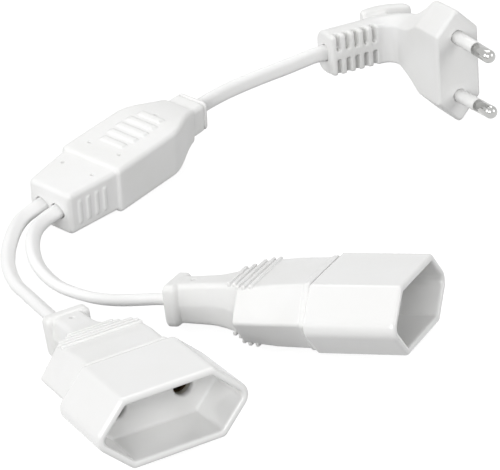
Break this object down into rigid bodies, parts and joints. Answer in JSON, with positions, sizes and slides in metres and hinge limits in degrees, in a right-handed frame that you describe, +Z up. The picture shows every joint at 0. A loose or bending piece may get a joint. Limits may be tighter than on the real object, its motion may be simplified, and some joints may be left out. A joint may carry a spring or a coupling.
{
  "type": "power cord splitter",
  "caption": "White splitter lead: an angled flat two-pin mains plug, a junction block and two flat cords ending in flat hexagonal sockets.",
  "frame": {"origin": "centre, seen from above, of the box round the four housings, on the plane the lead lies on", "axes": "+Z up from that plane; +Y from the sockets towards the plug; +X to the right seen with the plug at the back"},
  "size_m": [0.1427, 0.2379, 0.0353],
  "materials": {
    "soft_pvc": "satin",
    "shroud_plastic": "gloss",
    "cord_pvc": "satin",
    "pin_sleeve": "satin",
    "pin_metal": "polished",
    "contact_metal": "satin",
    "inner_plastic": "matte",
    "core_blue": "satin",
    "core_brown": "satin"
  },
  "bodies": {
    "root": {"plug_body": "soft_pvc", "plug_pin_bridge": "inner_plastic", "plug_pin_upper": "pin_metal", "plug_pin_sleeve_upper": "pin_sleeve", "plug_core_upper": "core_brown", "plug_pin_lower": "pin_metal", "plug_pin_sleeve_lower": "pin_sleeve", "plug_core_lower": "core_blue", "junction_body": "soft_pvc", "junction_core_block": "inner_plastic", "junction_ferrule_upper": "contact_metal", "junction_main_core_upper": "core_brown", "junction_branch_a_core_upper": "core_brown", "junction_branch_b_core_upper": "core_brown", "junction_ferrule_lower": "contact_metal", "junction_main_core_lower": "core_blue", "junction_branch_a_core_lower": "core_blue", "junction_branch_b_core_lower": "core_blue", "socket_a_shroud": "shroud_plastic", "socket_a_grip": "soft_pvc", "socket_a_contact_carrier": "inner_plastic", "socket_a_contact_left": "contact_metal", "socket_a_core_left": "core_blue", "socket_a_contact_right": "contact_metal", "socket_a_core_right": "core_brown", "socket_b_shroud": "shroud_plastic", "socket_b_grip": "soft_pvc", "socket_b_contact_carrier": "inner_plastic", "socket_b_contact_left": "contact_metal", "socket_b_core_left": "core_blue", "socket_b_contact_right": "contact_metal", "socket_b_core_right": "core_brown", "main_cord": "cord_pvc", "branch_cord_a": "cord_pvc", "branch_cord_b": "cord_pvc"}
  },
  "joints": []
}
